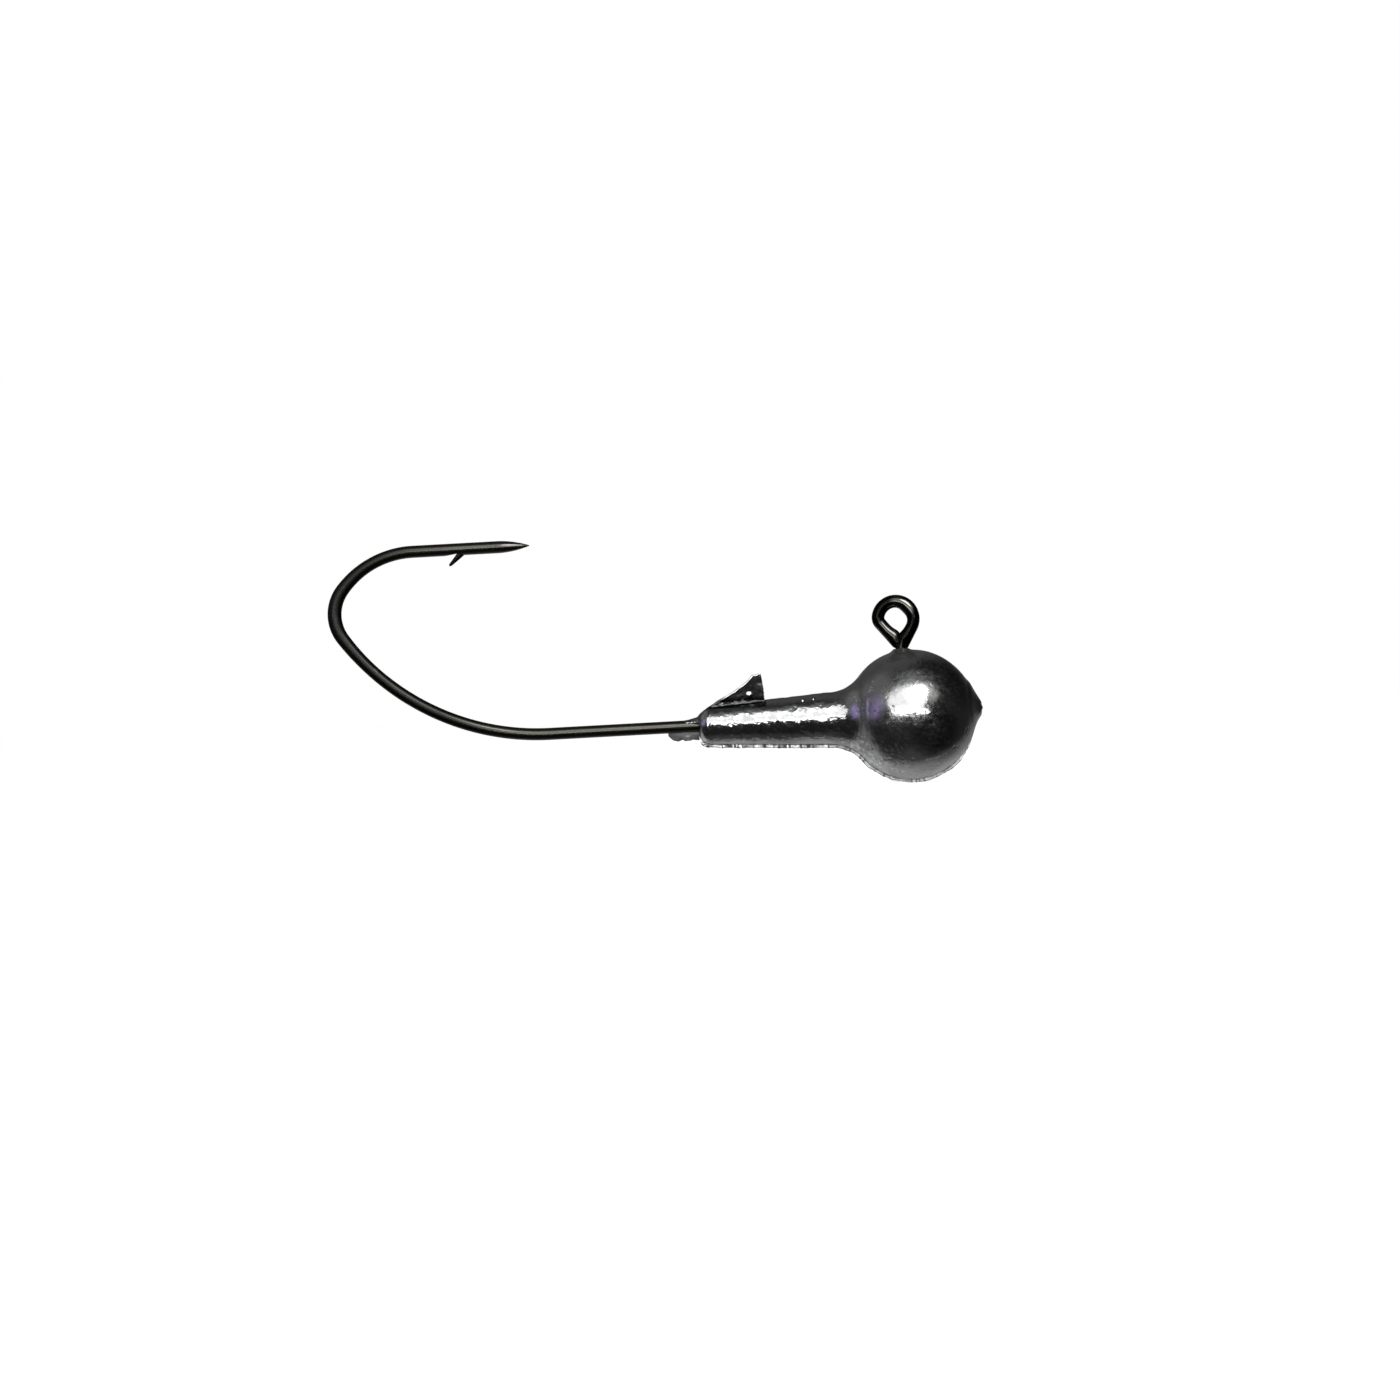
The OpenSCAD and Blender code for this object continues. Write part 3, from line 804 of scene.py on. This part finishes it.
def black_nickel():
    """Black nickel on drawn wire. Painted shade darkens the eye, but for worn glint spots, and the
    dullest bend.
    """
    material, n = new_material("black_nickel_wire")
    along = n.add("ShaderNodeAttribute", attribute_name="wire_grain").outputs["Vector"]
    where = n.add("ShaderNodeTexCoord").outputs["Object"]
    edge = n.add("ShaderNodeNewGeometry").outputs["Pointiness"]
    length = n.add("ShaderNodeSeparateXYZ", {"Vector": along}).outputs["X"]
    drawn = n.noise(n.stretch(along, (450, 16000, 16000)), 1.0, 3, 0.6)
    clouds = n.noise(where, 420, 3, 0.6)
    specks = n.noise(where, 5200, 3, 0.6)
    colour = n.mix(n.span(clouds, 0.35, 0.7), NICKEL_GREENISH, NICKEL_BROWNISH)
    colour = n.mix(n.span(drawn, 0.5, 0.75, 0, 0.5), colour, NICKEL_DRAWN)
    colour = n.mix(n.span(specks, 0.64, 0.75, 0, 0.6), colour, NICKEL_SPECK)
    colour = n.mix(n.times(n.span(edge, 0.66, 0.8), 0.5), colour, NICKEL_WORN)
    # The barb's own lengths run back from the tip, below zero, so the band ends before them and the
    # barb gets the bend's duller finish and painted shade
    polished = n.band(length, -2 * MM, -1 * MM, 8.5 * MM, 11.5 * MM)
    # The bend and the barb: a duller, rougher finish with less coat, and a darker colour that is
    # painted shade
    dull_and_shaded = n.band(length, 42 * MM, 50 * MM, 66 * MM, 74 * MM)
    dull_and_shaded = n.plus(dull_and_shaded, n.span(length, -1 * MM, -2 * MM))
    # Glint spots on the eye, partly real wear: kept out of its painted shade and given more coat
    shoulder = n.band(length, 4.3 * MM, 4.9 * MM, 6.2 * MM, 6.7 * MM)
    closing = n.band(length, 0.5 * MM, 0.8 * MM, 2.1 * MM, 2.5 * MM)
    rubbed_and_glint = n.plus(shoulder, n.times(closing, 0.6))
    # Painted shade on the eye's wire, away from its glint spots
    eye_painted_shade = n.minus(polished, rubbed_and_glint)
    coat = n.minus(COAT, n.times(dull_and_shaded, COAT_DULL))
    coat = n.minus(coat, n.times(eye_painted_shade, COAT_EYE_SHADE))
    coat = n.plus(coat, n.times(rubbed_and_glint, COAT_RUBBED_AND_GLINT))
    # Painted shade: the eye darkened nearly to black, then the bend and barb darkened too
    colour = n.mix(n.times(eye_painted_shade, 0.95), colour, NICKEL_EYE_SHADE)
    colour = n.mix(n.times(dull_and_shaded, 0.75), colour, NICKEL_BEND_SHADE)
    rough = n.span(drawn, 0.3, 0.75, 0.27, 0.36)
    rough = n.minus(rough, n.times(polished, 0.14))
    rough = n.plus(rough, n.times(dull_and_shaded, 0.1))
    rough = n.plus(rough, n.span(specks, 0.5, 0.8, 0, 0.1))
    normal = n.bump(drawn, 0.12, 0.000006)
    normal = n.bump(specks, 0.1, 0.000005, normal)
    n.principled({
        "Base Color": colour, "Metallic": 1.0, "Roughness": rough, "Normal": normal,
        "Coat Weight": coat, "Coat Roughness": COAT_ROUGH,
    })
    return material


# ---------------------------------------------------------------------------
# Pieces
# ---------------------------------------------------------------------------
HOOK_NODES = [
    "hook_eye", "hook_leg", "hook_shank", "bend_sweep", "bend_heel", "bend_throat",
    "hook_point", "hook_barb",
]
CAST_NODES = ["ball_head", "collar", "bait_keeper", "gate_stub"]

hook = hook_mesh(black_nickel())
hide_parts(*HOOK_NODES)
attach(hook, "root")

casting = casting_mesh(cast_lead("cast_lead", 0.0))
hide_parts(*CAST_NODES)
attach(casting, "root")

flash_lead = cast_lead("flash_lead", FLASH_FRESH)
flash = flash_mesh(flash_lead)
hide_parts("parting_flash")
for piece in (flash, tail_mesh(flash_lead)):
    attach(piece, "root")


# ---------------------------------------------------------------------------
# Studio
# ---------------------------------------------------------------------------
FLOOR_HALF = 3.0
FLOOR_GAP = 0.25 * MM
FLOOR_WHITE = (0.9, 0.9, 0.9, 1)
FLOOR_GLOW = 0.9
# Soft areas of the studio: azimuth, elevation, inner and outer radius in degrees, and colour
BRIGHT_AREAS = [
    (180, -35, 5, 60, (0.38, 0.38, 0.38)),
    (0, -90, 5, 40, (0.05, 0.05, 0.05)),
    (-126, -24, 5, 40, (0.22, 0.22, 0.22)),
    (-80, 30, 5, 45, (0.16, 0.16, 0.16)),
    (-150, 50, 10, 50, (0.07, 0.07, 0.07)),
    (0, 58, 3, 26, (0.16, 0.17, 0.16)),
    (36, 40, 3, 22, (0.7, 0.7, 0.68)),
    (-72, 14, 4, 20, (0.22, 0.14, 0.42)),
]
DARK_AREAS = [
    (50, -30, 20, 50),
    (105, 40, 15, 45),
]
ROOM, DARK = (0.02, 0.02, 0.02, 1), (0.005, 0.005, 0.006, 1)
WHITE = (1, 1, 1, 1)
# Lamps: name, azimuth, elevation, distance, width and height in metres, and watts
SOFTBOXES = [
    ("key_light", -9, 27, 0.4, 0.56, 0.35, 0.75),
    ("lamp", 15, 36, 0.39, 0.18, 0.18, 1.0),
    ("low_strip", -3, 5, 0.4, 0.56, 0.04, 0.36),
]
LIGHTS_AIM = Vector((-0.008, 0, -0.0065))
CAMERA_AT = (-0.01536, -0.2992, -0.00542)
CAMERA_ROLL = 3.1
CAMERA_LENS, CAMERA_SENSOR = 100, 36
CAMERA_CLIP = (0.01, 20)


def plain_floor():
    """A white floor under the ball, which the part's reflections don't show."""
    z = (SHANK_Z - BALL_R) * MM - FLOOR_GAP
    mesh = bpy.data.meshes.new("floor")
    corners = [(FLOOR_HALF * x, FLOOR_HALF * y, z) for x, y in ((-1, -1), (1, -1), (1, 1), (-1, 1))]
    mesh.from_pydata(corners, [], [(0, 1, 2, 3)])
    obj = bpy.data.objects.new("floor", mesh)
    bpy.context.scene.collection.objects.link(obj)
    material, n = new_material("floor_white")
    n.principled({
        "Base Color": FLOOR_WHITE, "Roughness": 0.9, "Specular IOR Level": 0.0,
        "Emission Color": WHITE, "Emission Strength": FLOOR_GLOW,
    })
    mesh.materials.append(material)
    obj.visible_glossy = False
    obj.visible_diffuse = False


def direction(azimuth, elevation):
    """A unit vector. Azimuth 0 is towards the camera, along -Y, and 90 is along +X."""
    a, e = math.radians(azimuth), math.radians(elevation)
    return (math.sin(a) * math.cos(e), -math.cos(a) * math.cos(e), math.sin(e))


def studio_world():
    """A dark room with soft bright and dark areas, and white where the camera sees it."""
    world = bpy.data.worlds.new("studio")
    bpy.context.scene.world = world
    world.use_nodes = True
    n = Nodes(world.node_tree)
    ray = n.add("ShaderNodeTexCoord").outputs["Generated"]

    def area(azimuth, elevation, inner, outer):
        dot = n.add("ShaderNodeVectorMath", operation="DOT_PRODUCT")
        n.put(dot.inputs[0], ray)
        n.put(dot.inputs[1], direction(azimuth, elevation))
        rim, middle = math.cos(math.radians(outer)), math.cos(math.radians(inner))
        return n.span(dot.outputs["Value"], rim, middle)

    total = ROOM
    for *spot, tint in BRIGHT_AREAS:
        total = n.mix(area(*spot), total, (*tint, 1), blend_type="ADD")
    for spot in DARK_AREAS:
        total = n.mix(area(*spot), total, DARK)
    seen = n.add("ShaderNodeLightPath").outputs["Is Camera Ray"]
    total = n.mix(seen, total, WHITE)
    background = n.add("ShaderNodeBackground", {"Color": total, "Strength": 1.0})
    n.add("ShaderNodeOutputWorld", {"Surface": background.outputs["Background"]})


def softbox(name, azimuth, elevation, distance, width, height, power):
    """An oval lamp, out of the camera's sight, aimed at the part."""
    light = bpy.data.lights.new(name, "AREA")
    light.shape = "ELLIPSE"
    light.size, light.size_y = width, height
    light.energy = power
    obj = bpy.data.objects.new(name, light)
    bpy.context.scene.collection.objects.link(obj)
    spot = Vector(direction(azimuth, elevation)) * distance
    obj.location = LIGHTS_AIM + spot
    obj.rotation_euler = (-spot).to_track_quat("-Z", "Y").to_euler()
    obj.visible_camera = False


def photo_camera():
    """The photo's camera, square to the hook's plane and rolled a little."""
    data = bpy.data.cameras.new("camera")
    data.lens, data.sensor_width = CAMERA_LENS, CAMERA_SENSOR
    data.clip_start, data.clip_end = CAMERA_CLIP
    obj = bpy.data.objects.new("camera", data)
    bpy.context.scene.collection.objects.link(obj)
    roll = math.radians(CAMERA_ROLL)
    right = Vector((math.cos(roll), 0, -math.sin(roll)))
    up = Vector((math.sin(roll), 0, math.cos(roll)))
    back = Vector((0, -1, 0))
    turn = Matrix((right, up, back)).transposed()
    obj.matrix_world = Matrix.Translation(CAMERA_AT) @ turn.to_4x4()
    bpy.context.scene.camera = obj


plain_floor()
studio_world()
for box in SOFTBOXES:
    softbox(*box)
photo_camera()
bpy.context.scene.view_settings.view_transform = "Standard"
